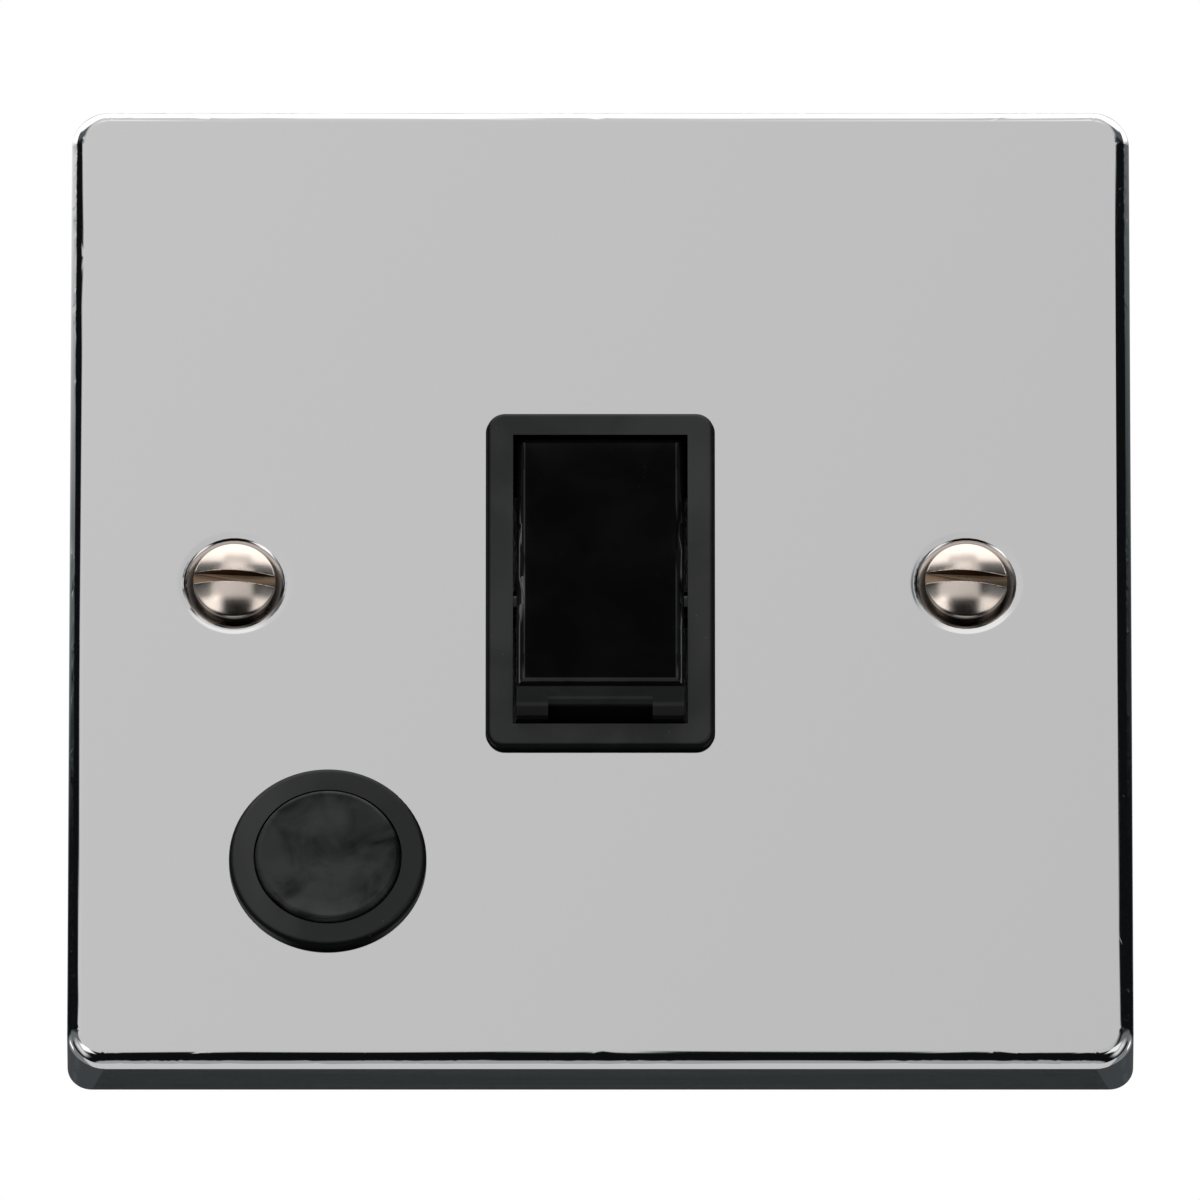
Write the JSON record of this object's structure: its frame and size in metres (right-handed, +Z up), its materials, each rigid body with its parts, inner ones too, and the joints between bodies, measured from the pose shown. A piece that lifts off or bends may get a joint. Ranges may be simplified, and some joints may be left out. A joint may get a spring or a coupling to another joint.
{
  "type": "double pole switch with flex outlet",
  "caption": "Square polished chrome wall plate with a black rocker switch in a black bezel and a round black flex outlet closed by a blanking plug, with its switch housing and terminals behind.",
  "frame": {"origin": "centre of the plate in the wall plane, midway between the fixing screws", "axes": "+X to the right as seen from the room, +Z up, +Y into the wall"},
  "size_m": [0.0874, 0.029, 0.0874],
  "materials": {
    "chrome_plate": "polished chrome plate on pressed steel",
    "nickel_screw": "bright nickel plate",
    "zinc_steel": "zinc plated",
    "black_satin": "satin moulded",
    "black_gloss": "gloss moulded",
    "white_moulding": "moulded thermoset",
    "natural_nylon": "moulded",
    "spring_steel": "drawn wire",
    "contact_copper": "stamped copper",
    "contact_silver": "silver alloy",
    "brass": "machined brass"
  },
  "bodies": {
    "wall_unit": {"face_plate": "chrome_plate", "fixing_screws": "nickel_screw", "plate_studs": "zinc_steel", "stud_nuts": "zinc_steel", "housing_screws": "zinc_steel", "cord_clamp_screws": "zinc_steel", "terminal_screws": "zinc_steel", "earth_screw": "zinc_steel", "switch_bezel": "black_satin", "flex_outlet_bush": "black_satin", "outlet_blank": "black_satin", "switch_base": "white_moulding", "cord_clamp_body": "white_moulding", "cord_clamp_bar": "white_moulding", "fixed_tips": "contact_silver", "line_supply_strip": "brass", "line_load_strip": "brass", "neutral_supply_strip": "brass", "neutral_load_strip": "brass", "line_supply_terminal": "brass", "line_load_terminal": "brass", "neutral_supply_terminal": "brass", "neutral_load_terminal": "brass", "earth_terminal": "brass"},
    "rocker": {"rocker": "black_gloss", "line_plunger_spring": "spring_steel", "neutral_plunger_spring": "spring_steel"},
    "line_plunger": {"line_plunger": "natural_nylon"},
    "neutral_plunger": {"neutral_plunger": "natural_nylon"},
    "line_contact": {"line_moving_contact": "contact_copper", "line_moving_tip": "contact_silver"},
    "neutral_contact": {"neutral_moving_contact": "contact_copper", "neutral_moving_tip": "contact_silver"}
  },
  "joints": [
    {"name": "rocker_tilt", "type": "hinge", "parent": "wall_unit", "child": "rocker", "pos_m": [0, -0.00015, 0], "axis": [1, 0, 0], "range_deg": [0, 17.6]},
    {"name": "line_contact_tilt", "type": "hinge", "parent": "wall_unit", "child": "line_contact", "pos_m": [-0.0036, 0.01065, 0], "axis": [1, 0, 0], "range_deg": [-16, 0]},
    {"name": "line_plunger_slide", "type": "slide", "parent": "rocker", "child": "line_plunger", "axis": [0, -0.9882, 0.153], "range_m": [0, 0.0008], "stiffness_N_per_m": 150, "springref_m": -0.002, "deforming": ["line_plunger_spring"]},
    {"name": "neutral_contact_tilt", "type": "hinge", "parent": "wall_unit", "child": "neutral_contact", "pos_m": [0.0036, 0.01065, 0], "axis": [1, 0, 0], "range_deg": [-16, 0]},
    {"name": "neutral_plunger_slide", "type": "slide", "parent": "rocker", "child": "neutral_plunger", "axis": [0, -0.9882, 0.153], "range_m": [0, 0.0008], "stiffness_N_per_m": 150, "springref_m": -0.002, "deforming": ["neutral_plunger_spring"]}
  ],
  "couplings": [
    {"joint": "line_contact_tilt", "follows": "rocker_tilt", "ratio": -0.90909},
    {"joint": "neutral_contact_tilt", "follows": "rocker_tilt", "ratio": -0.90909}
  ]
}
